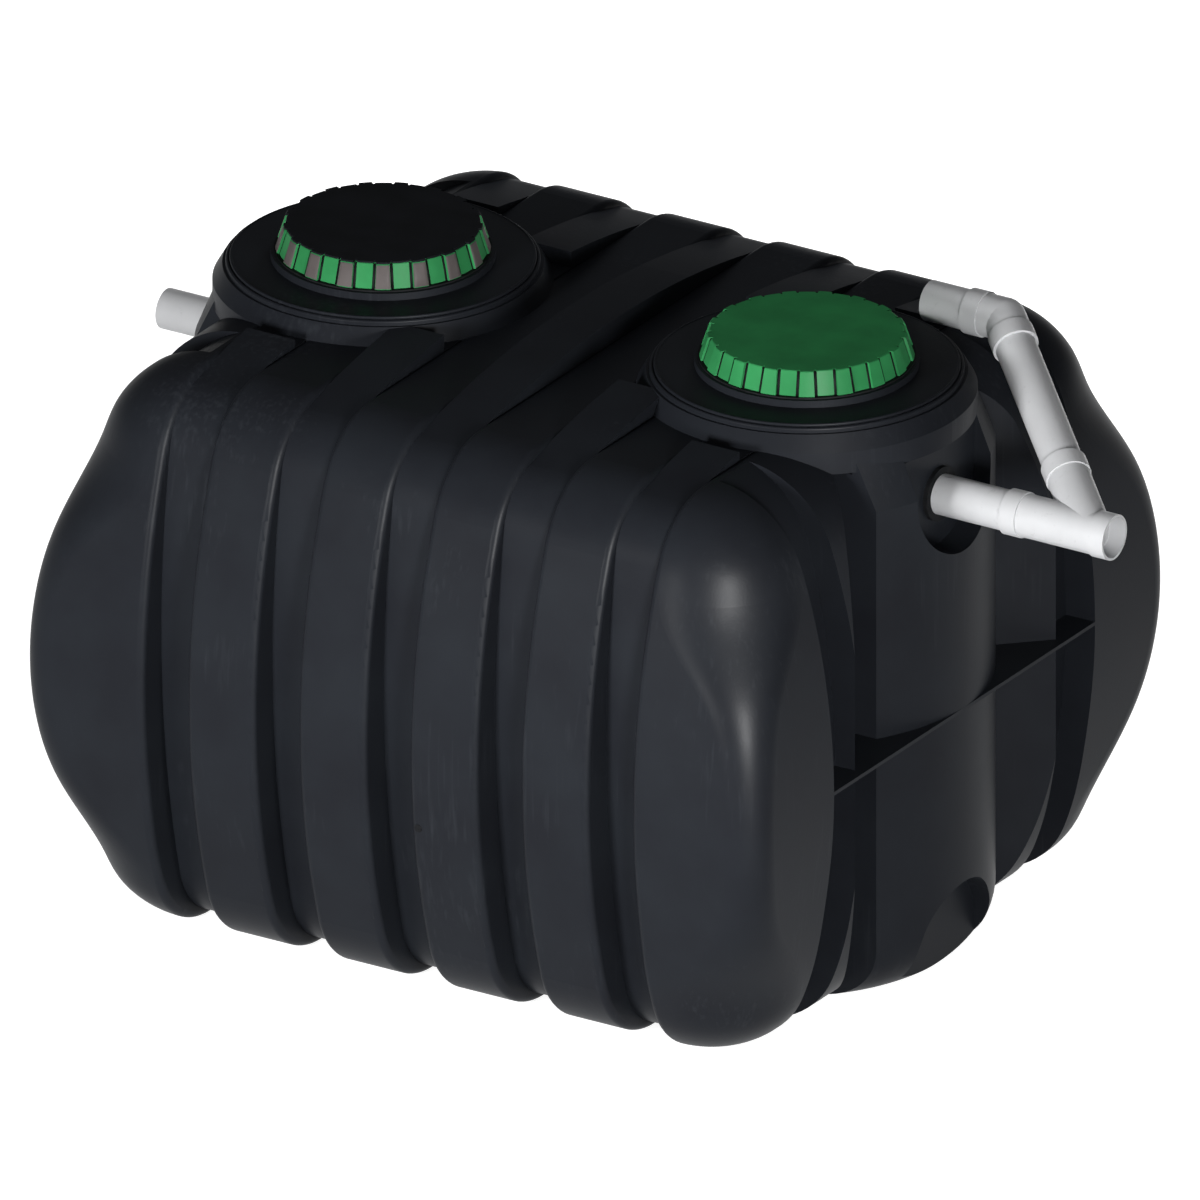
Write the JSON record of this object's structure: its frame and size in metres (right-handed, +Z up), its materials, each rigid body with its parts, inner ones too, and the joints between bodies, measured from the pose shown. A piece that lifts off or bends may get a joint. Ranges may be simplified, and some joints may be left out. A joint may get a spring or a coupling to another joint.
{
  "type": "packaged sewage treatment plant",
  "caption": "Ribbed black polyethylene sewage treatment tank with bulged sides, manhole necks under screw lids, drain pipe ends and a vent branch led back over the roof.",
  "frame": {"origin": "middle of the underside of the tank, on the plane it stands on", "axes": "+X along the tank towards the inlet end, +Y towards the side that the vent pipe runs along, +Z up"},
  "size_m": [2.926, 2.0704, 1.744],
  "materials": {
    "black_polyethylene": "satin moulded polyethylene",
    "green_lid_plastic": "satin moulded green plastic",
    "black_cover_plastic": "satin black plastic",
    "grey_pvc": "smooth light grey PVC",
    "seal_rubber": "black rubber"
  },
  "bodies": {
    "tank": {"tank_floor": "black_polyethylene", "front_wall": "black_polyethylene", "back_wall": "black_polyethylene", "inlet_end_wall": "black_polyethylene", "inlet_front_corner": "black_polyethylene", "inlet_back_corner": "black_polyethylene", "outlet_end_wall": "black_polyethylene", "outlet_front_corner": "black_polyethylene", "outlet_back_corner": "black_polyethylene", "roof_middle": "black_polyethylene", "roof_front": "black_polyethylene", "roof_back": "black_polyethylene", "inlet_neck": "black_polyethylene", "outlet_neck": "black_polyethylene", "inlet_neck_flange": "black_polyethylene", "outlet_neck_flange": "black_polyethylene", "inlet_lid_collar": "black_polyethylene", "outlet_lid_collar": "black_polyethylene", "inlet_lid_spigot": "black_polyethylene", "outlet_lid_spigot": "black_polyethylene", "inlet_lid_seal": "seal_rubber", "outlet_lid_seal": "seal_rubber", "inlet_pipe": "grey_pvc", "inlet_pipe_seal": "seal_rubber", "inlet_wye": "grey_pvc", "vent_riser": "grey_pvc", "vent_elbow": "grey_pvc", "vent_pipe": "grey_pvc", "outlet_pipe": "grey_pvc", "outlet_pipe_seal": "seal_rubber"},
    "inlet_lid": {"inlet_lid": "green_lid_plastic"},
    "outlet_lid": {"outlet_lid": "green_lid_plastic", "outlet_lid_cover": "black_cover_plastic"}
  },
  "joints": [
    {"name": "inlet_lid_lift", "type": "slide", "parent": "tank", "child": "inlet_lid", "axis": [0, 0, 1], "range_m": [0, 0.35]},
    {"name": "outlet_lid_lift", "type": "slide", "parent": "tank", "child": "outlet_lid", "axis": [0, 0, 1], "range_m": [0, 0.35]}
  ]
}
